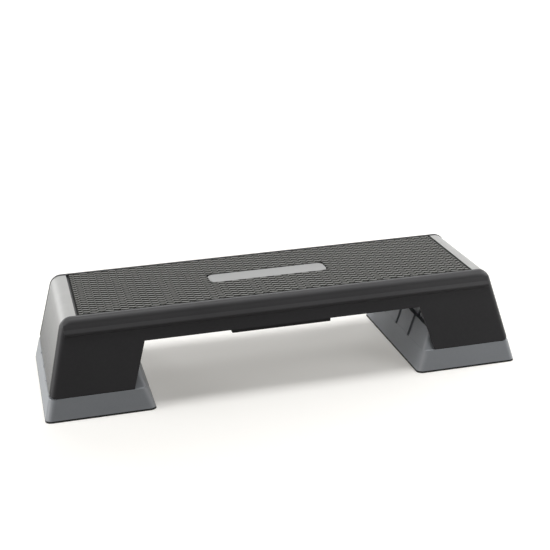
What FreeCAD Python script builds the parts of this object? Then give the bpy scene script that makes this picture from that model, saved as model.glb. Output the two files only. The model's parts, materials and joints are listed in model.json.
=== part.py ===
import FreeCAD, Part
import math
import operator
import os

import Sketcher
from FreeCAD import Placement, Rotation, Vector

# Aerobic step platform. Millimetres, +Z up, +X along the length, origin on the floor under the middle.

document = FreeCAD.newDocument("aerobic_step")
sheet = document.addObject("Spreadsheet::Sheet", "sizes")
bodies = {}


class Size:
    """A number from the sheet, or a formula of such numbers, together with its expression text."""

    def __init__(self, value, text):
        self.value = value
        self.text = text

    def __add__(self, other):
        return formula(self, "+", other)

    def __radd__(self, other):
        return formula(other, "+", self)

    def __sub__(self, other):
        return formula(self, "-", other)

    def __rsub__(self, other):
        return formula(other, "-", self)

    def __mul__(self, other):
        return formula(self, "*", other)

    def __rmul__(self, other):
        return formula(other, "*", self)

    def __truediv__(self, other):
        return formula(self, "/", other)

    def __neg__(self):
        return formula(0, "-", self)

    def root(self):
        return Size(math.sqrt(self.value), f"sqrt({self.text})")


OPERATORS = {"+": operator.add, "-": operator.sub, "*": operator.mul, "/": operator.truediv}


def as_size(item):
    """Gives a plain number the same form as a size."""
    return item if isinstance(item, Size) else Size(item, f"({item})")


def formula(left, sign, right):
    """Joins two sizes into one."""
    left = as_size(left)
    right = as_size(right)
    value = OPERATORS[sign](left.value, right.value)
    return Size(value, f"({left.text} {sign} {right.text})")


def size(alias, value):
    """Writes one driving dimension into the sheet."""
    row = len(sheet.getUsedCells()) // 2 + 1
    sheet.set(f"A{row}", alias)
    sheet.set(f"B{row}", str(value))
    sheet.setAlias(f"B{row}", alias)
    return Size(value, f"sizes.{alias}")


# Overall form. The leans are horizontal travel per unit of height.
overall_length = size("overall_length", 1000)
overall_width = size("overall_width", 360)
overall_height = size("overall_height", 200)
end_lean = size("end_lean", 0.255)
side_lean = size("side_lean", 0.2)

# Platform moulding.
shoulder_height = size("shoulder_height", 46)
skirt_depth = size("skirt_depth", 60)
leg_foot_length = size("leg_foot_length", 181)
leg_top_length = size("leg_top_length", 210)
leg_round = size("leg_round", 8)
skirt_wall = size("skirt_wall", 5)
plate_thickness = size("plate_thickness", 4)
post_width = size("post_width", 14.5)
post_depth = size("post_depth", 14)
end_round = size("end_round", 26)
edge_round = size("edge_round", 14)
ridge_drop = size("ridge_drop", 30)
ridge_proud = size("ridge_proud", 5)
ridge_flare = size("ridge_flare", 18)
ridge_bend = size("ridge_bend", 9)
ridge_bend_proud = size("ridge_bend_proud", 1.6)
ridge_undercut = size("ridge_undercut", 6.5)
ridge_nose_round = size("ridge_nose_round", 5)
ridge_end_gap = size("ridge_end_gap", 11)
rib_thickness = size("rib_thickness", 4)
rib_side_gap = size("rib_side_gap", 71)
rib_depth = size("rib_depth", 40)
cross_rib_inset = size("cross_rib_inset", 4.5)
CROSS_RIBS = 10
rib_end_gap = size("rib_end_gap", 1)
rib_setback = size("rib_setback", 8)
boss_diameter = size("boss_diameter", 12)

# Tread and plain plate.
cap_top_length = size("cap_top_length", 34.5)
mat_thickness = size("mat_thickness", 4.5)
mat_drop = size("mat_drop", 1.5)
mat_gap = size("mat_gap", 1.8)
badge_length = size("badge_length", 255)
badge_width = size("badge_width", 48)
badge_thickness = size("badge_thickness", 2.4)
badge_proud = size("badge_proud", 0.4)
badge_gap = size("badge_gap", 0.3)
badge_round = size("badge_round", 9)

# End covers.
cap_wall = size("cap_wall", 4)
cap_inset = size("cap_inset", 1)
cap_gap = size("cap_gap", 0.3)
cap_mat_gap = size("cap_mat_gap", 4)
cap_overlap = size("cap_overlap", 8.5)
hook_rise = size("hook_rise", 22)
hook_drop = size("hook_drop", 40)
hook_height = size("hook_height", 12)
hook_thickness = size("hook_thickness", 3)
hook_reach = size("hook_reach", 4)

# Risers and rubber.
riser_length = size("riser_length", 223)
riser_lean = size("riser_lean", 0.35)
riser_wall = size("riser_wall", 4)
ledge_drop = size("ledge_drop", 28)
plug_gap = size("plug_gap", 1)
plug_end_gap = size("plug_end_gap", 8)
plug_round = size("plug_round", 8)
plug_inset = size("plug_inset", 0.4)
tower_room = size("tower_room", 32)
ledge_width = size("ledge_width", 10)
tower_gap = size("tower_gap", 30)
slot_room = size("slot_room", 4)
slot_clearance = size("slot_clearance", 3)
channel_wall = size("channel_wall", 3)
rim_height = size("rim_height", 4)
rim_width = size("rim_width", 9)
rim_inset = size("rim_inset", 0.6)
strip_height = size("strip_height", 2)
strip_inset = size("strip_inset", 0.6)

# Stiffening frame under the middle.
brace_half_length = size("brace_half_length", 105.5)
brace_side_gap = size("brace_side_gap", 26)
brace_depth = size("brace_depth", 30.5)
brace_wall = size("brace_wall", 4)
brace_flange = size("brace_flange", 18)
brace_round = size("brace_round", 4)

# Self-tapping screws.
screw_diameter = size("screw_diameter", 3.5)
screw_head_diameter = size("screw_head_diameter", 7)
screw_head_height = size("screw_head_height", 2.4)
screw_fit = size("screw_fit", 0.05)
cap_screw_bite = size("cap_screw_bite", 3)
brace_screw_bite = size("brace_screw_bite", 10)
cap_screw_edge = size("cap_screw_edge", 23)

document.recompute()

# Levels that several pieces share.
leg_bottom = shoulder_height + strip_height
mat_top = overall_height - mat_drop
plate_top = mat_top - mat_thickness
plate_bottom = plate_top - plate_thickness
rib_bottom = plate_bottom - rib_depth
deck_edge_height = overall_height - skirt_depth
ridge_height = overall_height - ridge_drop
tower_height = rib_bottom - tower_room
plug_height = tower_height - ledge_drop
slot_floor = leg_bottom - slot_room
brace_bottom = rib_bottom - brace_depth


def end_x(z):
    """Half length of the platform and risers at a height."""
    return overall_length / 2 - end_lean * z


def side_y(z):
    """Half width of the platform and risers at a height."""
    return overall_width / 2 - side_lean * z


def arch_x(z):
    """Half length of the arch between the legs at a height."""
    narrowing = (leg_top_length - leg_foot_length) / (deck_edge_height - shoulder_height)
    return overall_length / 2 - leg_foot_length - narrowing * (z - shoulder_height)


def opening_y(z):
    """Half width of the opening between the corner posts at a height."""
    return side_y(z) - post_width


def cap_x(z):
    """Outer face of an end cover at a height."""
    return end_x(z) - cap_inset


def riser_x(z):
    """Inner face of a riser at a height."""
    return overall_length / 2 - riser_length + riser_lean * z


def plug_x(z):
    """Outer end of a riser's plug at a height."""
    return end_x(z) - post_depth - plug_end_gap


def plug_y(z):
    """Half width of a riser's plug at a height."""
    return side_y(z) - skirt_wall - plug_gap


# Places that several pieces share.
recess_y = opening_y(overall_height)
mat_end = end_x(overall_height) - cap_top_length
cap_start = mat_end + cap_mat_gap
plate_end = cap_start + cap_overlap
cap_screw_x = cap_start + cap_overlap / 2
rib_spacing = side_y(rib_bottom) - skirt_wall - rib_side_gap
cap_screw_inner = rib_spacing / 2
cap_screw_outer = opening_y(plate_top) - cap_screw_edge
slot_width = rib_thickness + 2 * slot_clearance
brace_half_width = side_y(rib_bottom) - skirt_wall - brace_side_gap
brace_boss_x = brace_half_length - brace_wall - (brace_flange - brace_wall) / 2
brace_boss_y = brace_half_width - brace_wall - (brace_flange - brace_wall) / 2
BEYOND = overall_width / 10


def rectangle(left, right, half_width):
    """Corners of a rectangle that is even about the X axis."""
    return [(left, -half_width), (right, -half_width), (right, half_width), (left, half_width)]


def new_body(label):
    """An empty body that becomes the sub-part of that name."""
    body = document.addObject("PartDesign::Body", label)
    body.Label = label
    bodies[label] = body
    return body


def sketch(body, name, plane, lift=0):
    """An empty sketch on one of the body's own planes, lifted along the plane's normal."""
    support = next(item for item in body.Origin.OriginFeatures if item.Role == plane)
    drawing = body.newObject("Sketcher::SketchObject", name)
    drawing.AttachmentSupport = [(support, "")]
    drawing.MapMode = "FlatFace"
    drawing.setExpression("AttachmentOffset.Base.z", as_size(lift).text)
    return drawing


def hold(drawing, kind, element, point, distance):
    """Holds one coordinate of a point at a formula of the sheet."""
    distance = as_size(distance)
    number = drawing.addConstraint(Sketcher.Constraint(kind, -1, 1, element, point, distance.value))
    drawing.setExpression(f"Constraints[{number}]", distance.text)


def add_polygon(drawing, corners):
    """Adds a closed outline of straight lines."""
    first = drawing.GeometryCount
    points = [Vector(as_size(u).value, as_size(v).value, 0) for u, v in corners]
    for start, end in zip(points, points[1:] + points[:1]):
        drawing.addGeometry(Part.LineSegment(start, end))
    for index, (u, v) in enumerate(corners):
        following = first + (index + 1) % len(corners)
        drawing.addConstraint(Sketcher.Constraint("Coincident", first + index, 2, following, 1))
        hold(drawing, "DistanceX", first + index, 1, u)
        hold(drawing, "DistanceY", first + index, 1, v)


def add_arc_outline(drawing, corners, centre):
    """Adds an outline of straight lines that an arc about a centre closes."""
    first = drawing.GeometryCount
    points = [Vector(as_size(u).value, as_size(v).value, 0) for u, v in corners]
    for start, end in zip(points, points[1:]):
        drawing.addGeometry(Part.LineSegment(start, end))
    arc = drawing.GeometryCount
    middle = Vector(centre[0].value, centre[1].value, 0)
    outward = ((points[0] - middle) + (points[-1] - middle)).normalize()
    bulge = middle + outward * (points[0] - middle).Length
    from_last = (points[-1] - middle).cross(bulge - middle).z > 0
    ends = (points[-1], points[0]) if from_last else (points[0], points[-1])
    drawing.addGeometry(Part.Arc(ends[0], bulge, ends[1]))
    for index, (u, v) in enumerate(corners[:-1]):
        hold(drawing, "DistanceX", first + index, 1, u)
        hold(drawing, "DistanceY", first + index, 1, v)
        if index:
            drawing.addConstraint(Sketcher.Constraint("Coincident", first + index - 1, 2, first + index, 1))
    hold(drawing, "DistanceX", arc - 1, 2, corners[-1][0])
    hold(drawing, "DistanceY", arc - 1, 2, corners[-1][1])
    drawing.addConstraint(Sketcher.Constraint("Coincident", arc, 1 if from_last else 2, arc - 1, 2))
    drawing.addConstraint(Sketcher.Constraint("Coincident", arc, 2 if from_last else 1, first, 1))
    hold(drawing, "DistanceX", arc, 3, centre[0])


def add_circle(drawing, u, v, diameter):
    """Adds a circle."""
    centre = Vector(as_size(u).value, as_size(v).value, 0)
    number = drawing.addGeometry(Part.Circle(centre, Vector(0, 0, 1), diameter.value / 2))
    hold(drawing, "DistanceX", number, 3, u)
    hold(drawing, "DistanceY", number, 3, v)
    bound = drawing.addConstraint(Sketcher.Constraint("Diameter", number, diameter.value))
    drawing.setExpression(f"Constraints[{bound}]", diameter.text)


def polygons(body, name, plane, outlines, lift=0):
    """A sketch of one or more closed outlines."""
    drawing = sketch(body, name, plane, lift)
    for corners in outlines:
        add_polygon(drawing, corners)
    return drawing


def circles(body, name, places, diameter, lift=0):
    """A level sketch of equal circles."""
    drawing = sketch(body, name, "XY_Plane", lift)
    for u, v in places:
        add_circle(drawing, u, v, diameter)
    return drawing


def volume(body):
    """Volume of a body as far as it is made."""
    return 0 if body.Shape.isNull() else body.Shape.Volume


def pad(body, name, profile, length, symmetric=False):
    """Pushes a sketch out along its normal."""
    feature = body.newObject("PartDesign::Pad", name)
    feature.Profile = profile
    feature.SideType = "Symmetric" if symmetric else "One side"
    feature.setExpression("Length", as_size(length).text)
    document.recompute()
    return feature


def pocket(body, name, profile, length, symmetric=False, upward=False):
    """Cuts a sketch into the body, against its normal unless upward, and checks that it cut."""
    before = volume(body)
    feature = body.newObject("PartDesign::Pocket", name)
    feature.Profile = profile
    feature.SideType = "Symmetric" if symmetric else "One side"
    feature.Reversed = upward
    feature.setExpression("Length", as_size(length).text)
    document.recompute()
    if volume(body) >= before:
        raise RuntimeError(f"{body.Label}: {name} cuts nothing")
    return feature


def tapered_block(body, kind, name, levels, span):
    """Adds or takes away a block with sloping sides, from its left, right and half width at two levels."""
    before = volume(body)
    block = body.newObject(f"PartDesign::{kind}Wedge", name)
    support = next(item for item in body.Origin.OriginFeatures if item.Role == "XZ_Plane")
    block.AttachmentSupport = [(support, "")]
    block.MapMode = "FlatFace"
    for place, number, level in (("min", "", levels[0]), ("max", "2", levels[1])):
        left, right, half_width = span(level)
        block.setExpression(f"Y{place}", as_size(level).text)
        block.setExpression(f"X{number}min", left.text)
        block.setExpression(f"X{number}max", right.text)
        block.setExpression(f"Z{number}min", (-half_width).text)
        block.setExpression(f"Z{number}max", half_width.text)
    document.recompute()
    if kind == "Subtractive" and volume(body) >= before:
        raise RuntimeError(f"{body.Label}: {name} cuts nothing")
    return block


def fillet(body, name, radius, wanted):
    """Rounds the edges whose middle point passes a test."""
    base = body.Tip
    names = []
    for number, edge in enumerate(base.Shape.Edges, start=1):
        middle = edge.valueAt((edge.FirstParameter + edge.LastParameter) / 2)
        if wanted(edge, middle):
            names.append(f"Edge{number}")
    if not names:
        raise RuntimeError(f"{body.Label}: {name} finds no edge")
    feature = body.newObject("PartDesign::Fillet", name)
    feature.Base = (base, names)
    feature.setExpression("Radius", radius.text)
    document.recompute()
    return feature


def near(first, second):
    """True where two lengths agree."""
    return abs(first - as_size(second).value) < 0.01


def runs_along(edge, axis):
    """True where a straight edge runs along an axis."""
    if not isinstance(edge.Curve, (Part.Line, Part.LineSegment)):
        return False
    return abs(edge.tangentAt(edge.FirstParameter).dot(axis)) > 0.999


def turned(body):
    """Puts a sub-part at the other end by half a turn about the vertical axis."""
    body.Placement = Placement(Vector(0, 0, 0), Rotation(Vector(0, 0, 1), 180))


def make_deck_shell():
    """The platform moulding: rails, plate, skirts, legs, corner posts and ribs."""
    body = new_body("deck_shell")
    tapered_block(body, "Additive", "outer_form", (leg_bottom, overall_height),
                  lambda z: (-end_x(z), end_x(z), side_y(z)))
    arch = [(-arch_x(0), 0), (arch_x(0), 0),
            (arch_x(deck_edge_height), deck_edge_height), (-arch_x(deck_edge_height), deck_edge_height)]
    pocket(body, "arch", polygons(body, "arch_outline", "XZ_Plane", [arch]), overall_width, True)
    fillet(body, "end_rounds", end_round,
           lambda edge, middle: near(middle.z, overall_height) and runs_along(edge, Vector(0, 1, 0)))
    fillet(body, "edge_rounds", edge_round,
           lambda edge, middle: near(middle.z, overall_height) and runs_along(edge, Vector(1, 0, 0)))
    round_legs(body)
    add_ridges(body)
    hollow_deck(body)
    add_ribs(body)
    drill_deck(body)


def round_legs(body):
    """Rounds the lower outer corners of the legs, as seen from the front."""
    slant = (1 + end_lean * end_lean).root()
    middle_z = leg_bottom + leg_round
    middle_x = end_x(middle_z) - leg_round * slant
    high_x = middle_x + leg_round / slant
    high_z = middle_z + leg_round * end_lean / slant
    beyond = end_x(0) + BEYOND
    drawing = sketch(body, "leg_round_outline", "XZ_Plane")
    for side in (1, -1):
        corners = [(middle_x, leg_bottom), (middle_x, as_size(0)), (beyond, as_size(0)), (beyond, high_z),
                   (high_x, high_z)]
        add_arc_outline(drawing, [(side * x, z) for x, z in corners], (side * middle_x, middle_z))
    pocket(body, "leg_rounds", drawing, overall_width, True)


def add_ridges(body):
    """The lengthwise ridge below each rail, with its flare above, rounded nose and undercut below."""
    flare_top = ridge_height + ridge_flare
    bend = ridge_height + ridge_bend
    undercut_bottom = ridge_height - ridge_undercut
    outlines = []
    for side in (1, -1):
        outlines.append([
            (side * side_y(flare_top), flare_top),
            (side * (side_y(bend) + ridge_bend_proud), bend),
            (side * (side_y(ridge_height) + ridge_proud), ridge_height),
            (side * side_y(undercut_bottom), undercut_bottom),
            (side * (side_y(ridge_height) - skirt_wall / 2), ridge_height)])
    profile = polygons(body, "ridge_outline", "YZ_Plane", outlines)
    pad(body, "ridges", profile, 2 * (end_x(ridge_height) - ridge_end_gap), True)
    fillet(body, "ridge_noses", ridge_nose_round,
           lambda edge, middle: near(middle.z, ridge_height) and runs_along(edge, Vector(1, 0, 0)))


def hollow_deck(body):
    """Opens the moulding below the plate, between the posts and above the plate."""
    tapered_block(body, "Subtractive", "hollow", (0, plate_bottom),
                  lambda z: (post_depth - end_x(z), end_x(z) - post_depth, side_y(z) - skirt_wall))
    beyond = overall_height + BEYOND
    tapered_block(body, "Subtractive", "right_opening", (0, beyond),
                  lambda z: (plate_end, end_x(z) + BEYOND, opening_y(z)))
    tapered_block(body, "Subtractive", "left_opening", (0, beyond),
                  lambda z: (-end_x(z) - BEYOND, -plate_end, opening_y(z)))
    tapered_block(body, "Subtractive", "recess", (plate_top, beyond),
                  lambda z: (-end_x(0), end_x(0), opening_y(z)))


def add_ribs(body):
    """Three ribs along the length, which reach down into the legs, and the cross ribs."""
    rib_top = plate_bottom + plate_thickness / 2

    def rib_end(z):
        return cap_x(z) - cap_wall - rib_end_gap

    half = [(plate_end, rib_top), (rib_end(rib_bottom), rib_bottom), (rib_end(leg_bottom), leg_bottom),
            (arch_x(leg_bottom), leg_bottom), (riser_x(rib_bottom) + ledge_width + rib_setback, rib_bottom)]
    outline = half + [(-x, z) for x, z in reversed(half)]
    for name, place in (("front", 1), ("middle", 0), ("rear", -1)):
        profile = polygons(body, f"{name}_rib_outline", "XZ_Plane", [outline], place * rib_spacing)
        pad(body, f"{name}_rib", profile, rib_thickness, True)
    span = 2 * (cap_start - cross_rib_inset)
    inner = side_y(rib_bottom) - skirt_wall / 2
    upper = side_y(rib_top) - skirt_wall / 2
    cross = [(-inner, rib_bottom), (inner, rib_bottom), (upper, rib_top), (-upper, rib_top)]
    first = pad(body, "cross_rib", polygons(body, "cross_rib_outline", "YZ_Plane", [cross], -span / 2),
                rib_thickness, True)
    pattern = body.newObject("PartDesign::LinearPattern", "cross_ribs")
    pattern.Originals = [first]
    pattern.Direction = (next(item for item in body.Origin.OriginFeatures if item.Role == "X_Axis"), [""])
    pattern.Occurrences = CROSS_RIBS
    pattern.setExpression("Length", span.text)
    body.Tip = pattern
    document.recompute()


def brace_screw_places():
    """Places of the four screws of the stiffening frame."""
    return [(x * brace_boss_x, y * brace_boss_y) for x in (1, -1) for y in (1, -1)]


def cap_screw_places():
    """Places of the screws of both end covers."""
    rows = (cap_screw_inner, -cap_screw_inner, cap_screw_outer, -cap_screw_outer)
    return [(side * cap_screw_x, y) for side in (1, -1) for y in rows]


def drill_deck(body):
    """The bosses for the stiffening frame and every screw hole."""
    bosses = circles(body, "boss_outline", brace_screw_places(), boss_diameter, rib_bottom)
    pad(body, "bosses", bosses, rib_depth + plate_thickness / 2)
    hole = screw_diameter + 2 * screw_fit
    bores = circles(body, "bore_outline", brace_screw_places(), hole, rib_bottom)
    pocket(body, "bores", bores, brace_screw_bite + screw_fit, upward=True)
    holes = circles(body, "cap_hole_outline", cap_screw_places(), hole, plate_top)
    pocket(body, "cap_holes", holes, plate_thickness)


def make_mat():
    """The rubber tread with the shallow seat of the plain plate."""
    body = new_body("top_mat")
    outline = rectangle(-mat_end, mat_end, recess_y - mat_gap)
    pad(body, "sheet", polygons(body, "sheet_outline", "XY_Plane", [outline], plate_top), mat_thickness)
    seat = rectangle(-badge_length / 2 - badge_gap, badge_length / 2 + badge_gap,
                     badge_width / 2 + badge_gap)
    pocket(body, "seat", polygons(body, "seat_outline", "XY_Plane", [seat], mat_top),
           badge_thickness - badge_proud)


def make_badge():
    """The plain plate in the middle of the tread."""
    body = new_body("centre_badge")
    outline = rectangle(-badge_length / 2, badge_length / 2, badge_width / 2)
    base = mat_top + badge_proud - badge_thickness
    pad(body, "plate", polygons(body, "plate_outline", "XY_Plane", [outline], base), badge_thickness)
    fillet(body, "corner_rounds", badge_round, lambda edge, middle: runs_along(edge, Vector(0, 0, 1)))


def make_end_cap(label):
    """One end cover: a top strip, a rounded turn, a sloping face and four snap hooks."""
    body = new_body(label)
    outline = [(cap_start, mat_top), (cap_x(mat_top), mat_top), (cap_x(leg_bottom), leg_bottom),
               (cap_x(leg_bottom) - cap_wall, leg_bottom), (cap_x(plate_top) - cap_wall, plate_top),
               (cap_start, plate_top)]
    pad(body, "bent_sheet", polygons(body, "bent_outline", "XZ_Plane", [outline]), overall_width, True)
    fillet(body, "outer_turn", end_round - cap_inset,
           lambda edge, middle: near(middle.z, mat_top) and near(middle.x, cap_x(mat_top)))
    fillet(body, "inner_turn", end_round - cap_inset - cap_wall,
           lambda edge, middle: near(middle.z, plate_top) and near(middle.x, cap_x(plate_top) - cap_wall))
    wide = overall_width / 2 + BEYOND
    top = overall_height + BEYOND
    trims = []
    for side in (1, -1):
        trims.append([(side * (opening_y(0) - cap_gap), 0), (side * wide, 0), (side * wide, top),
                      (side * (opening_y(top) - cap_gap), top)])
    pocket(body, "side_trims", polygons(body, "side_trim_outline", "YZ_Plane", trims),
           2 * overall_length, True)
    for name, level in (("low", leg_bottom + hook_rise), ("high", plate_bottom - hook_drop)):
        add_hooks(body, name, level)
    hole = screw_diameter + 2 * screw_fit
    holes = circles(body, "hole_outline", cap_screw_places()[:4], hole, plate_top)
    pocket(body, "holes", holes, cap_screw_bite + screw_fit, upward=True)
    return body


def add_hooks(body, name, level):
    """A pair of hooks that snap behind the corner posts at one level."""
    upper = level + hook_height / 2
    outer = opening_y(upper) - 2 * cap_gap
    face = end_x(upper) - post_depth - cap_gap
    root = cap_x(level) - cap_wall / 2
    outlines = []
    for side in (1, -1):
        arm = side * (outer - hook_thickness)
        tip = side * (outer + hook_reach)
        back = face - hook_thickness
        outlines.append([(root, side * outer), (face, side * outer), (face, tip), (back, tip),
                         (back, arm), (root, arm)])
    profile = polygons(body, f"{name}_hook_outline", "XY_Plane", outlines, level)
    pad(body, f"{name}_hooks", profile, hook_height, True)


def make_riser(label):
    """One riser block: a foot, a plug that goes up into the leg, and the slots for the leg's ribs."""
    body = new_body(label)
    tapered_block(body, "Additive", "plug", (shoulder_height, plug_height),
                  lambda z: (riser_x(z) + plug_inset, plug_x(z), plug_y(z)))
    fillet(body, "plug_rounds", plug_round,
           lambda edge, middle: near(middle.z, (shoulder_height + plug_height) / 2))
    tapered_block(body, "Additive", "foot", (rim_height, shoulder_height),
                  lambda z: (riser_x(z), end_x(z), side_y(z)))
    fillet(body, "foot_rounds", edge_round,
           lambda edge, middle: near(middle.z, (rim_height + shoulder_height) / 2))
    tapered_block(body, "Additive", "tower", (plug_height, tower_height),
                  lambda z: (riser_x(z) + ledge_width, plug_x(z), plug_y(z) - tower_gap))
    tapered_block(body, "Subtractive", "plug_hollow", (0, plug_height - riser_wall),
                  lambda z: (riser_x(z) + riser_wall, plug_x(z) - riser_wall, plug_y(z) - riser_wall))
    tapered_block(body, "Subtractive", "tower_hollow",
                  (plug_height - 2 * riser_wall, tower_height - riser_wall),
                  lambda z: (riser_x(z) + ledge_width + riser_wall, plug_x(z) - riser_wall,
                             plug_y(z) - tower_gap - riser_wall))
    cut_slots(body)
    return body


def cut_slots(body):
    """The three channels that take the leg's ribs, open at the top and at both ends."""
    inset = riser_wall / 2
    floor = slot_floor - channel_wall
    outline = [(riser_x(floor) + inset, floor), (plug_x(floor) - inset, floor),
               (plug_x(tower_height) - inset, tower_height - inset),
               (riser_x(tower_height) + ledge_width + inset, tower_height - inset),
               (riser_x(plug_height) + ledge_width + inset, plug_height - inset),
               (riser_x(plug_height) + inset, plug_height - inset)]
    for name, place in (("front", 1), ("middle", 0), ("rear", -1)):
        profile = polygons(body, f"{name}_channel_outline", "XZ_Plane", [outline], place * rib_spacing)
        pad(body, f"{name}_channel", profile, slot_width + 2 * channel_wall, True)
    slots = []
    top = tower_height + BEYOND
    for place in (1, 0, -1):
        middle = place * rib_spacing
        slots.append([(middle - slot_width / 2, slot_floor), (middle + slot_width / 2, slot_floor),
                      (middle + slot_width / 2, top), (middle - slot_width / 2, top)])
    pocket(body, "slots", polygons(body, "slot_outline", "YZ_Plane", slots), 2 * overall_length, True)


def make_rim(label):
    """The rubber rim that one riser stands on."""
    body = new_body(label)
    tapered_block(body, "Additive", "band", (0, rim_height),
                  lambda z: (riser_x(z) + rim_inset, end_x(z) - rim_inset, side_y(z) - rim_inset))
    fillet(body, "corner_rounds", edge_round - rim_inset,
           lambda edge, middle: near(middle.z, rim_height / 2))
    inner = rim_inset + rim_width
    opening = rectangle(riser_x(rim_height) + inner, end_x(rim_height) - inner, side_y(rim_height) - inner)
    profile = polygons(body, "opening_outline", "XY_Plane", [opening], rim_height)
    pocket(body, "opening", profile, rim_height)
    return body


def make_leg_strip(label, side):
    """The rubber strip under one leg skirt."""
    body = new_body(label)
    left = arch_x(leg_bottom) + strip_inset
    right = end_x(leg_bottom) - post_depth
    outer = side * (side_y(leg_bottom) - strip_inset)
    inner = side * (side_y(leg_bottom) - skirt_wall + strip_inset)
    outline = [(left, outer), (right, outer), (right, inner), (left, inner)]
    profile = polygons(body, "strip_outline", "XY_Plane", [outline], shoulder_height)
    pad(body, "strip", profile, strip_height)
    return body


def make_brace():
    """The stiffening frame screwed under the middle of the platform."""
    body = new_body("centre_brace")
    outer = rectangle(-brace_half_length, brace_half_length, brace_half_width)
    pad(body, "block", polygons(body, "block_outline", "XY_Plane", [outer], brace_bottom),
        rib_bottom - brace_bottom)
    fillet(body, "corner_rounds", brace_round, lambda edge, middle: runs_along(edge, Vector(0, 0, 1)))
    wall_x = brace_half_length - brace_wall
    wall_y = brace_half_width - brace_wall
    room = rectangle(-wall_x, wall_x, wall_y)
    pocket(body, "room", polygons(body, "room_outline", "XY_Plane", [room], brace_bottom),
           rib_bottom - brace_bottom - brace_wall, upward=True)
    flange_x = brace_half_length - brace_flange
    flange_y = brace_half_width - brace_flange
    window = rectangle(-flange_x, flange_x, flange_y)
    pocket(body, "window", polygons(body, "window_outline", "XY_Plane", [window], rib_bottom), brace_wall)
    hole = screw_diameter + 2 * screw_fit
    holes = circles(body, "hole_outline", brace_screw_places(), hole, rib_bottom)
    pocket(body, "holes", holes, brace_wall)


def cylinder(name, place, base, diameter, length):
    """An upright cylinder bound to the sheet."""
    solid = document.addObject("Part::Cylinder", name)
    solid.setExpression("Radius", (diameter / 2).text)
    solid.setExpression("Height", as_size(length).text)
    for axis, distance in zip("xyz", (*place, base)):
        solid.setExpression(f"Placement.Base.{axis}", as_size(distance).text)
    return solid


def make_screws(label, places, seat, grip):
    """A group of equal screws that point upward from a seat."""
    screws = []
    for number, place in enumerate(places, start=1):
        head = cylinder(f"{label}_head_{number}", place, seat - screw_head_height,
                        screw_head_diameter, screw_head_height)
        shank = cylinder(f"{label}_shank_{number}", place, seat, screw_diameter, grip)
        screw = document.addObject("Part::Fuse", f"{label}_{number}")
        screw.Base = head
        screw.Tool = shank
        screws.append(screw)
    group = document.addObject("Part::Compound", label)
    group.Label = label
    group.Links = screws
    bodies[label] = group
    document.recompute()


def check_and_write():
    """Stops on any failed object, then writes one file for each sub-part."""
    document.recompute()
    failed = [item.Name for item in document.Objects if {"Invalid", "Error"} & set(item.State)]
    if failed:
        raise RuntimeError(f"failed objects: {failed}")
    for label, body in bodies.items():
        if body.Shape.isNull() or not body.Shape.isValid():
            raise RuntimeError(f"{label} has no valid shape")
    os.makedirs("parts", exist_ok=True)
    for label, body in bodies.items():
        body.Shape.exportStep(f"parts/{label}.step")
        print(f"{label}: {len(body.Shape.Solids)} solids, {body.Shape.Volume / 1000:.1f} cm3")


make_deck_shell()
make_mat()
make_badge()
make_end_cap("end_cap_right")
turned(make_end_cap("end_cap_left"))
make_screws("end_cap_screws", cap_screw_places(), plate_bottom, plate_thickness + cap_screw_bite)
make_brace()
make_screws("brace_screws", brace_screw_places(), rib_bottom - brace_wall, brace_wall + brace_screw_bite)
make_riser("riser_right")
turned(make_riser("riser_left"))
make_rim("riser_rim_right")
turned(make_rim("riser_rim_left"))
make_leg_strip("leg_strip_front_right", -1)
make_leg_strip("leg_strip_rear_right", 1)
turned(make_leg_strip("leg_strip_rear_left", -1))
turned(make_leg_strip("leg_strip_front_left", 1))
check_and_write()
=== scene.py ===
import json
import math

import bpy
from mathutils import Matrix, Vector

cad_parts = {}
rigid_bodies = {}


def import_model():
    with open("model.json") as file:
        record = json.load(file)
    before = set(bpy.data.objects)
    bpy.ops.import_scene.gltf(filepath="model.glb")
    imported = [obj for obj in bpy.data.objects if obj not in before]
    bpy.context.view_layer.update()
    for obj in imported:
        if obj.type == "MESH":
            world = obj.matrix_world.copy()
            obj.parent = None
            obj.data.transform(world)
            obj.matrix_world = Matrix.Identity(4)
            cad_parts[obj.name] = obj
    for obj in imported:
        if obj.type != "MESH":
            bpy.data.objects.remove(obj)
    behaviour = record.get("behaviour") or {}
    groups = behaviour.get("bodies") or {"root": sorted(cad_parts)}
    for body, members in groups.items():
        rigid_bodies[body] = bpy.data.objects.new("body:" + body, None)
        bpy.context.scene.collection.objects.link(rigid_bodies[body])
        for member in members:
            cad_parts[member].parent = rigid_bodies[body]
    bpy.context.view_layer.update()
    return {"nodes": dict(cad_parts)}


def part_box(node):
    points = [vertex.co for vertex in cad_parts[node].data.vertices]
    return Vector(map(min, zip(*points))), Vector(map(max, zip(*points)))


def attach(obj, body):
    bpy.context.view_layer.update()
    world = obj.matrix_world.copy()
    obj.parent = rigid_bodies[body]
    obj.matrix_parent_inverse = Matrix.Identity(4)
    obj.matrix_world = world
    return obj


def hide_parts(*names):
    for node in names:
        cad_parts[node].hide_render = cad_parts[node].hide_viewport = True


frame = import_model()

mat_low, mat_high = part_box("top_mat")
badge_low, badge_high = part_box("centre_badge")

# Tread bars, in metres. Columns of short wavy bars, every other column shifted by half a row.
COLUMN_PITCH = 0.01525
BAR_LENGTH = 0.0166
BAR_WIDTH = 0.0060
BAR_HEIGHT = 0.0014
BAR_SWING = 0.0010
BAR_END = 0.55
EDGE_WIDTH = 0.0007
EDGE_RISE = 0.0002
BAR_STEPS = 8
ROWS = 20
TREAD_BORDER = 0.0030
SIDE_BORDER = 0.0014
BADGE_MARGIN = 0.0016
BAR_SINK = 0.0004

# The plain plate, in metres.
PLATE_ROUND = 0.013
PLATE_RIM = (0.0009, 0.0004)
PLATE_FIELD = (0.0016, -0.0003)


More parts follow.
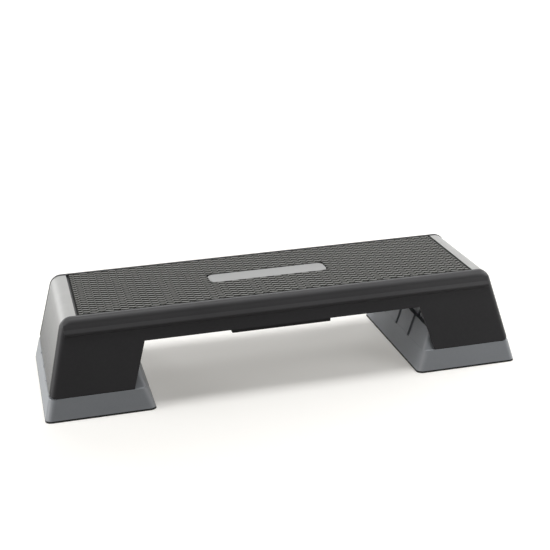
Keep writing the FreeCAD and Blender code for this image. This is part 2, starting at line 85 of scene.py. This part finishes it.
# Shader wiring.
class Wire:
    """One output of a shader node, on which arithmetic adds Math nodes."""

    def __init__(self, finish, socket):
        self.finish = finish
        self.socket = socket

    def math(self, operation, first, second):
        return self.finish.node("ShaderNodeMath", {"operation": operation}, {0: first, 1: second})

    def __add__(self, other):
        return self.math("ADD", self, other)

    def __radd__(self, other):
        return self.math("ADD", other, self)

    def __sub__(self, other):
        return self.math("SUBTRACT", self, other)

    def __rsub__(self, other):
        return self.math("SUBTRACT", other, self)

    def __mul__(self, other):
        return self.math("MULTIPLY", self, other)

    def __rmul__(self, other):
        return self.math("MULTIPLY", other, self)


class Finish:
    """A material or world whose nodes are wired up in code."""

    def __init__(self, owner):
        owner.use_nodes = True
        self.owner = owner
        self.tree = owner.node_tree

    def node(self, kind, settings=None, inputs=None, output=0):
        """Adds a node, sets it up, joins its sockets and gives the wire of one output."""
        made = self.tree.nodes.new(kind)
        for name, value in (settings or {}).items():
            if name == "stops":
                set_stops(made.color_ramp, value)
            else:
                setattr(made, name, value)
        for name, value in (inputs or {}).items():
            self.join(made.inputs[name], value)
        return Wire(self, made.outputs[output])

    def join(self, socket, value):
        """Links a wire to a socket, or sets the socket to a plain value."""
        if isinstance(value, Wire):
            self.tree.links.new(value.socket, socket)
        else:
            socket.default_value = value


def set_stops(ramp, stops):
    """Gives a colour ramp these stops of place and grey value."""
    while len(ramp.elements) > 1:
        ramp.elements.remove(ramp.elements[-1])
    for number, (place, value) in enumerate(stops):
        stop = ramp.elements[0] if number == 0 else ramp.elements.new(place)
        stop.position = place
        stop.color = (value, value, value, 1)


def new_finish(name):
    """A new material with its shader and its object coordinates at hand."""
    finish = Finish(bpy.data.materials.new(name))
    finish.shader = finish.tree.nodes["Principled BSDF"]
    finish.place = finish.node("ShaderNodeTexCoord", output="Object")
    return finish


def noise(finish, scale, detail=2.0, stretch=None):
    """Noise from 0 to 1 at a number of lumps per metre, stretched along chosen axes."""
    place = finish.place
    if stretch:
        place = finish.node("ShaderNodeMapping", None, {"Vector": place, "Scale": stretch})
    return finish.node("ShaderNodeTexNoise", None, {"Vector": place, "Scale": scale, "Detail": detail})


def tint(finish, amount, first, second):
    """A colour between two colours or colour wires, mixed by a wire."""
    pair = [end if isinstance(end, Wire) else (*end, 1) for end in (first, second)]
    return finish.node("ShaderNodeMix", {"data_type": "RGBA"},
                       {"Factor": amount, 6: pair[0], 7: pair[1]}, output=2)


def ramp(finish, value, stops):
    """A wire sent through a grey ramp."""
    return finish.node("ShaderNodeValToRGB", {"stops": stops}, {"Fac": value})


def bump(finish, height, distance, strength=1.0):
    """Sends a height into the shader's normal."""
    made = finish.node("ShaderNodeBump", None,
                       {"Height": height, "Distance": distance, "Strength": strength})
    finish.join(finish.shader.inputs["Normal"], made)


def along(finish, vector, axis):
    """One axis of a vector wire."""
    return finish.node("ShaderNodeSeparateXYZ", None, {"Vector": vector}, output=axis)


def rounded_edges(finish):
    """Nought on the flat faces, rising to one where a rounded edge turns from one to the next."""
    normal = finish.node("ShaderNodeTexCoord", output="Normal")
    most = 0.0
    for axis in "XYZ":
        size = along(finish, normal, axis)
        size = size.math("ABSOLUTE", size, 0.0)
        most = size.math("MAXIMUM", size, most)
    return ramp(finish, 1 - most, [(0.0, 0.0), (0.07, 0.0), (0.28, 1.0)])


def moulded_plastic(name, dark, light, worn_and_lit, rough, shine, grain_size, grain_depth, lower_shade):
    """Moulded plastic: spark-eroded grain, faint flow marks, fine scratches, rounded edges and a top band
    mixed lighter as painted highlight with some edge wear, and a lower part painted darker as painted
    shade."""
    finish = new_finish(name)
    flow = noise(finish, 9.0, 3.0, (1.0, 2.5, 0.6))
    mottle = noise(finish, 160.0, 2.0)
    grain = noise(finish, grain_size, 3.0)
    streaks = noise(finish, 60.0, 4.0, (1.0, 22.0, 22.0))
    scratch = ramp(finish, streaks, [(0.0, 0.0), (0.68, 0.0), (0.76, 1.0)])
    patch = ramp(finish, noise(finish, 5.0, 2.0), [(0.0, 0.0), (0.5, 0.0), (0.7, 1.0)])
    rubbed = scratch * patch
    amount = flow * 0.6 + mottle * 0.4 + rubbed * 0.35
    # Painted highlight, with some edge wear: rounded edges and the band from about 0.17 m up are mixed
    # towards the lighter edge colour.
    height = along(finish, finish.place, "Z") * 5
    high = ramp(finish, height, [(0.0, 0.0), (0.83, 0.0), (0.93, 1.0)])
    edges = (rounded_edges(finish) * 0.8 + high * 0.4) * (0.55 + 0.9 * flow)
    colour = tint(finish, edges, tint(finish, amount, dark, light), worn_and_lit)
    # Painted shade: the lower part is mixed towards a darker colour, darker towards the bottom, by the
    # last argument.
    low = ramp(finish, height, [(0.0, 1.0), (0.3, 1.0), (0.88, 0.0)])
    painted_lower_shade = low * (0.4 + 0.6 * mottle + 0.5 * rubbed) * lower_shade
    colour = tint(finish, painted_lower_shade, colour, [0.45 * part for part in dark])
    finish.join(finish.shader.inputs["Base Color"], colour)
    finish.join(finish.shader.inputs["Roughness"],
                rough + flow * 0.10 + mottle * 0.06 - rubbed * 0.12 - edges * 0.08 + painted_lower_shade * 0.2)
    finish.shader.inputs["Specular IOR Level"].default_value = shine
    bump(finish, grain + rubbed * -0.5, grain_depth)
    return finish.owner


def tread_rubber(name, dark, light, worn_and_lit, rough, shine):
    """Matt rubber: a fine open grain with dusty lighter patches; faces that look upward are mixed paler,
    partly wear and partly painted highlight.
    """
    finish = new_finish(name)
    dust = noise(finish, 14.0, 4.0)
    speck = noise(finish, 700.0, 2.0)
    amount = dust * 0.55 + speck * 0.45
    upward = along(finish, finish.node("ShaderNodeTexCoord", output="Normal"), "Z")
    # Painted highlight with some wear: upward faces are mixed towards the paler colour.
    trodden_and_lit_tops = ramp(finish, upward, [(0.0, 0.0), (0.7, 0.0), (0.97, 1.0)]) * (0.75 + 0.5 * dust)
    colour = tint(finish, trodden_and_lit_tops, tint(finish, amount, dark, light), worn_and_lit)
    finish.join(finish.shader.inputs["Base Color"], colour)
    finish.join(finish.shader.inputs["Roughness"], rough + dust * 0.12 - speck * 0.08)
    finish.shader.inputs["Specular IOR Level"].default_value = shine
    bump(finish, speck, 0.00015)
    return finish.owner


def zinc_plate(name):
    """Zinc plated steel with faint brushing and dull spots."""
    finish = new_finish(name)
    brushing = noise(finish, 900.0, 2.0, (1.0, 1.0, 0.1))
    spots = noise(finish, 260.0, 3.0)
    finish.join(finish.shader.inputs["Base Color"],
                tint(finish, spots, (0.42, 0.43, 0.45), (0.64, 0.64, 0.63)))
    finish.join(finish.shader.inputs["Roughness"], 0.24 + brushing * 0.12 + spots * 0.12)
    finish.shader.inputs["Metallic"].default_value = 1.0
    bump(finish, brushing, 0.00004)
    return finish.owner


def dress(item, material):
    """Gives an object one material."""
    item.data.materials.clear()
    item.data.materials.append(material)


# Modelling by hand.
def deselect_all():
    """Leaves edit mode with nothing selected."""
    if bpy.context.mode != "OBJECT":
        bpy.ops.object.mode_set(mode="OBJECT")
    bpy.ops.object.select_all(action="DESELECT")


def block(name, low, high):
    """A cube primitive at its size and place, left in object mode."""
    deselect_all()
    low = Vector(low)
    high = Vector(high)
    bpy.ops.mesh.primitive_cube_add(size=1, location=(low + high) / 2)
    item = bpy.context.object
    item.name = name
    item.data.name = name
    item.scale = high - low
    bpy.ops.object.transform_apply(location=True, rotation=True, scale=True)
    return item


def edit(item):
    """Opens an object in edit mode with nothing selected."""
    deselect_all()
    bpy.context.view_layer.objects.active = item
    item.select_set(True)
    bpy.ops.object.mode_set(mode="EDIT")
    bpy.ops.mesh.select_all(action="DESELECT")


def pick(item, kind, wanted):
    """Selects the vertices, edges or faces whose middle passes a test."""
    modes = {"vertices": "VERT", "edges": "EDGE", "polygons": "FACE"}
    bpy.ops.mesh.select_mode(type=modes[kind])
    bpy.ops.mesh.select_all(action="DESELECT")
    bpy.ops.object.mode_set(mode="OBJECT")
    mesh = item.data
    for part in getattr(mesh, kind):
        if kind == "vertices":
            middle = part.co
        elif kind == "edges":
            middle = (mesh.vertices[part.vertices[0]].co + mesh.vertices[part.vertices[1]].co) / 2
        else:
            middle = part.center
        if wanted(part, middle):
            part.select = True
    bpy.ops.object.mode_set(mode="EDIT")


def apply_modifier(item, kind, **settings):
    """Adds a modifier, sets it up and applies it."""
    deselect_all()
    bpy.context.view_layer.objects.active = item
    item.select_set(True)
    made = item.modifiers.new(kind.lower(), kind)
    for name, value in settings.items():
        setattr(made, name, value)
    bpy.ops.object.modifier_apply(modifier=made.name)


def repeat(item, count, offset):
    """Copies a shape along a straight line."""
    apply_modifier(item, "ARRAY", count=count, use_relative_offset=False, use_constant_offset=True,
                   constant_offset_displace=offset)


def smooth(item, angle):
    """Smooth shading that keeps edges sharper than an angle."""
    deselect_all()
    bpy.context.view_layer.objects.active = item
    item.select_set(True)
    bpy.ops.object.shade_smooth_by_angle(angle=math.radians(angle))


def make_tread_bars():
    """The raised wavy bars of the tread, cut off at its ends and round the plain plate."""
    row_pitch = (mat_high.y - mat_low.y) / ROWS
    pairs = math.ceil(mat_high.x / COLUMN_PITCH)
    first_x = -pairs * COLUMN_PITCH
    first_y = mat_low.y
    bars = block("tread_bars",
                 (first_x - BAR_LENGTH / 2, first_y - BAR_WIDTH / 2, mat_high.z - BAR_SINK),
                 (first_x + BAR_LENGTH / 2, first_y + BAR_WIDTH / 2, mat_high.z + BAR_HEIGHT - EDGE_RISE))
    edit(bars)
    pick(bars, "edges", lambda edge, middle: abs(middle.x - first_x) < 1e-5)
    bpy.ops.mesh.subdivide(number_cuts=BAR_STEPS - 1)
    pick(bars, "polygons", lambda face, middle: face.normal.z > 0.9)
    bpy.ops.mesh.inset(thickness=EDGE_WIDTH)
    bpy.ops.transform.translate(value=(0, 0, EDGE_RISE))
    step = BAR_LENGTH / BAR_STEPS
    for number in range(BAR_STEPS + 1):
        place = first_x - BAR_LENGTH / 2 + number * step
        turn = math.pi * number / BAR_STEPS
        pick(bars, "vertices", lambda corner, middle: abs(middle.x - place) < 0.45 * step)
        bpy.ops.transform.resize(value=(1, BAR_END + (1 - BAR_END) * math.sin(turn), 1),
                                 center_override=(place, first_y, mat_high.z))
        bpy.ops.transform.translate(value=(0, BAR_SWING * math.sin(2 * turn), 0))
    bpy.ops.object.mode_set(mode="OBJECT")
    repeat(bars, ROWS + 1, (0, row_pitch, 0))
    repeat(bars, 2, (COLUMN_PITCH, row_pitch / 2, 0))
    repeat(bars, pairs + 1, (2 * COLUMN_PITCH, 0, 0))

    def on_bar(test):
        """A face test that holds near the middle of each bar whose middle passes a test."""
        def wanted(face, point):
            column = round((point.x - first_x) / COLUMN_PITCH)
            x = first_x + column * COLUMN_PITCH
            start = first_y + (column % 2) * row_pitch / 2
            y = start + round((point.y - start) / row_pitch) * row_pitch
            return abs(point.x - x) < COLUMN_PITCH / 3 and test(x, y)
        return wanted

    plate_x = badge_high.x + BADGE_MARGIN
    plate_y = badge_high.y + BADGE_MARGIN
    edit(bars)
    for side in (1, -1):
        cut_off(bars, (side * (mat_high.x - TREAD_BORDER), 0, 0), (side, 0, 0), lambda face, middle: True)
        cut_off(bars, (0, side * (mat_high.y - SIDE_BORDER), 0), (0, side, 0),
                on_bar(lambda x, y: y * side > mat_high.y - row_pitch / 4))
        cut_off(bars, (side * plate_x, 0, 0), (-side, 0, 0),
                on_bar(lambda x, y: x * side >= plate_x and abs(y) < plate_y + BAR_WIDTH / 2))
        cut_off(bars, (0, side * plate_y, 0), (0, -side, 0),
                on_bar(lambda x, y: abs(x) < plate_x and -0.001 < y * side < plate_y + BAR_WIDTH))
    bpy.ops.object.mode_set(mode="OBJECT")
    smooth(bars, 35)
    return bars


def cut_off(item, place, outward, wanted):
    """Cuts the chosen pieces at a plane, drops what lies outward of it and closes the cut ends."""
    pick(item, "polygons", wanted)
    bpy.ops.mesh.select_linked()
    bpy.ops.mesh.bisect(plane_co=place, plane_no=outward, use_fill=True, clear_outer=True, threshold=1e-6)


def make_badge_plate():
    """The plain plate in the tread, with rounded corners and a softened top edge."""
    plate = block("badge_plate", badge_low, badge_high)
    edit(plate)
    pick(plate, "edges", lambda edge, middle: abs(middle.z - (badge_low.z + badge_high.z) / 2) < 1e-5)
    bpy.ops.mesh.bevel(offset=PLATE_ROUND, segments=8)
    pick(plate, "polygons", lambda face, middle: face.normal.z > 0.9)
    for width, rise in (PLATE_RIM, PLATE_FIELD):
        bpy.ops.mesh.inset(thickness=width)
        bpy.ops.transform.translate(value=(0, 0, rise))
    bpy.ops.object.mode_set(mode="OBJECT")
    smooth(plate, 30)
    return plate


# Finishes.
black_plastic = moulded_plastic("black_plastic", (0.033, 0.032, 0.0335), (0.052, 0.051, 0.053),
                                (0.090, 0.089, 0.091), 0.38, 0.13, 1500.0, 0.00012, 0.0)
# The end covers: the last argument 0.9 puts painted shade on their lower part, darker towards the bottom.
grey_cover = moulded_plastic("grey_cover", (0.34, 0.34, 0.335), (0.43, 0.43, 0.42),
                             (0.48, 0.48, 0.47), 0.50, 0.12, 1600.0, 0.00008, 0.9)
grey_plate = moulded_plastic("grey_plate", (0.27, 0.27, 0.268), (0.335, 0.335, 0.332),
                             (0.36, 0.36, 0.357), 0.46, 0.15, 1600.0, 0.00006, 0.0)
grey_riser = moulded_plastic("grey_riser", (0.32, 0.335, 0.355), (0.41, 0.425, 0.445),
                             (0.46, 0.47, 0.485), 0.42, 0.25, 1600.0, 0.00008, 0.0)
# The sheet between the bars is a darker copy of the bar rubber, painted shade in the grooves; the bars
# are lighter, partly dust and partly painted highlight.
tread_finish_with_groove_shade = tread_rubber("tread_rubber", (0.012, 0.012, 0.0115), (0.024, 0.024, 0.023),
                            (0.018, 0.018, 0.0175), 0.70, 0.04)
bar_finish_dusty_and_lit = tread_rubber("bar_rubber", (0.032, 0.032, 0.030), (0.070, 0.070, 0.066),
                          (0.185, 0.185, 0.174), 0.58, 0.14)
edge_finish = tread_rubber("edge_rubber", (0.008, 0.008, 0.008), (0.016, 0.016, 0.016),
                           (0.014, 0.014, 0.014), 0.55, 0.3)
screw_finish = zinc_plate("zinc_plate")

NODE_FINISHES = {
    "deck_shell": black_plastic, "centre_brace": black_plastic, "top_mat": tread_finish_with_groove_shade,
    "centre_badge": grey_plate, "end_cap_left": grey_cover, "end_cap_right": grey_cover,
    "riser_left": grey_riser, "riser_right": grey_riser, "riser_rim_left": edge_finish,
    "riser_rim_right": edge_finish, "leg_strip_front_left": edge_finish,
    "leg_strip_front_right": edge_finish, "leg_strip_rear_left": edge_finish,
    "leg_strip_rear_right": edge_finish, "end_cap_screws": screw_finish, "brace_screws": screw_finish,
}
for node_name, material in NODE_FINISHES.items():
    dress(frame["nodes"][node_name], material)

bars = make_tread_bars()
dress(bars, bar_finish_dusty_and_lit)
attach(bars, "platform")

plate = make_badge_plate()
dress(plate, grey_plate)
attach(plate, "platform")
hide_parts("centre_badge")


# Floor, light and camera. Each soft lamp has its place, the place it points at, width, height and watts.
SURROUND = 0.07
SOFT_LAMPS = {
    "left_lamp": ((-2.6, -0.10, 0.75), (0, 0, 0.12), 1.6, 1.2, 33),
    "back_lamp": ((0.5, 2.2, 1.8), (0, 0, 0.1), 2.4, 1.2, 26),
    "right_lamp": ((1.9, 0.4, 1.1), (0.3, 0, 0.15), 0.8, 0.8, 12),
    "right_fill": ((1.35, -1.05, 1.05), (0.3, 0, 0.15), 0.9, 0.9, 9),
    "low_lamp": ((-1.4, 2.0, 0.7), (0.2, 0, 0.05), 1.0, 0.6, 12),
}


def seen_directly(finish):
    """One for rays from the camera, reflections and clear materials, and nought for soft light."""
    seen = finish.node("ShaderNodeLightPath", output="Is Camera Ray")
    for name in ("Is Glossy Ray", "Is Transmission Ray"):
        seen = seen.math("MAXIMUM", seen, finish.node("ShaderNodeLightPath", output=name))
    return seen


def make_floor():
    """A pale floor that looks white to the camera and keeps the shadow."""
    deselect_all()
    bpy.ops.mesh.primitive_plane_add(size=60, location=(0, 0, -0.0002))
    floor = bpy.context.object
    floor.name = "studio_floor"
    finish = Finish(bpy.data.materials.new("studio_floor"))
    finish.tree.nodes.remove(finish.tree.nodes["Principled BSDF"])
    lit = finish.node("ShaderNodeBsdfDiffuse", None, {"Color": (0.77, 0.762, 0.745, 1)})
    place = finish.node("ShaderNodeTexCoord", output="Object")
    away = finish.node("ShaderNodeVectorMath", {"operation": "LENGTH"}, {0: place}, output="Value")
    paler = ramp(finish, away * 0.5, [(0.0, 0.0), (0.35, 0.0), (0.9, 1.0)])
    glow = finish.node("ShaderNodeEmission", None,
                       {"Color": tint(finish, paler, (0.285, 0.277, 0.260), (0.75, 0.75, 0.75))})
    shown = finish.node("ShaderNodeAddShader", None, {0: lit, 1: glow})
    soft = finish.node("ShaderNodeBsdfDiffuse", None, {"Color": (0.10, 0.10, 0.098, 1)})
    mixed = finish.node("ShaderNodeMixShader", None, {0: seen_directly(finish), 1: soft, 2: shown})
    finish.join(finish.tree.nodes["Material Output"].inputs["Surface"], mixed)
    dress(floor, finish.owner)


def make_world():
    """A dim soft surround that looks white where it is seen."""
    world = bpy.data.worlds.new("studio")
    bpy.context.scene.world = world
    finish = Finish(world)
    background = finish.tree.nodes["Background"]
    background.inputs["Color"].default_value = (1, 1, 1, 1)
    seen = seen_directly(finish)
    finish.join(background.inputs["Strength"], SURROUND + seen * (1 - SURROUND))


def soft_box(name, place, aim, width, height, watts):
    """A rectangular lamp that points at a place."""
    lamp = bpy.data.lights.new(name, "AREA")
    lamp.shape = "RECTANGLE"
    lamp.size = width
    lamp.size_y = height
    lamp.energy = watts
    item = bpy.data.objects.new(name, lamp)
    item.location = place
    item.rotation_euler = (Vector(aim) - Vector(place)).to_track_quat("-Z", "Y").to_euler()
    bpy.context.scene.collection.objects.link(item)


def overhead_lamp(lean_x, lean_y, strength, spread):
    """An even soft light from above; the leans are sideways travel per unit of height."""
    lamp = bpy.data.lights.new("overhead_lamp", "SUN")
    lamp.energy = strength * math.pi
    lamp.angle = math.radians(spread)
    item = bpy.data.objects.new("overhead_lamp", lamp)
    item.rotation_euler = Vector((-lean_x, -lean_y, -1)).to_track_quat("-Z", "Y").to_euler()
    bpy.context.scene.collection.objects.link(item)


def make_camera():
    """The camera that was fitted to the photograph: angles in degrees, lengths in metres."""
    azimuth = math.radians(-13.542)
    elevation = math.radians(19.837)
    roll = math.radians(-1.7835)
    back = Vector((math.sin(azimuth) * math.cos(elevation), -math.cos(azimuth) * math.cos(elevation),
                   math.sin(elevation)))
    level = Vector((math.cos(azimuth), math.sin(azimuth), 0))
    upright = back.cross(level)
    right = math.cos(roll) * level + math.sin(roll) * upright
    up = -math.sin(roll) * level + math.cos(roll) * upright
    distance = 2.5307
    aim = Vector((0, 0, 0.1)) + right * 0.013555 + up * 0.08745
    place = aim + back * distance
    camera = bpy.data.cameras.new("camera")
    focal_pixels = 1165.25
    photo_pixels = 550
    camera.sensor_width = 36
    camera.lens = focal_pixels * camera.sensor_width / photo_pixels
    item = bpy.data.objects.new("camera", camera)
    item.matrix_world = Matrix.Translation(place) @ Matrix((right, up, back)).transposed().to_4x4()
    bpy.context.scene.collection.objects.link(item)
    bpy.context.scene.camera = item


make_floor()
make_world()
overhead_lamp(0.0, 0.06, 0.53, 24)
for lamp_name, settings in SOFT_LAMPS.items():
    soft_box(lamp_name, *settings)
make_camera()
bpy.context.scene.view_settings.view_transform = "Standard"
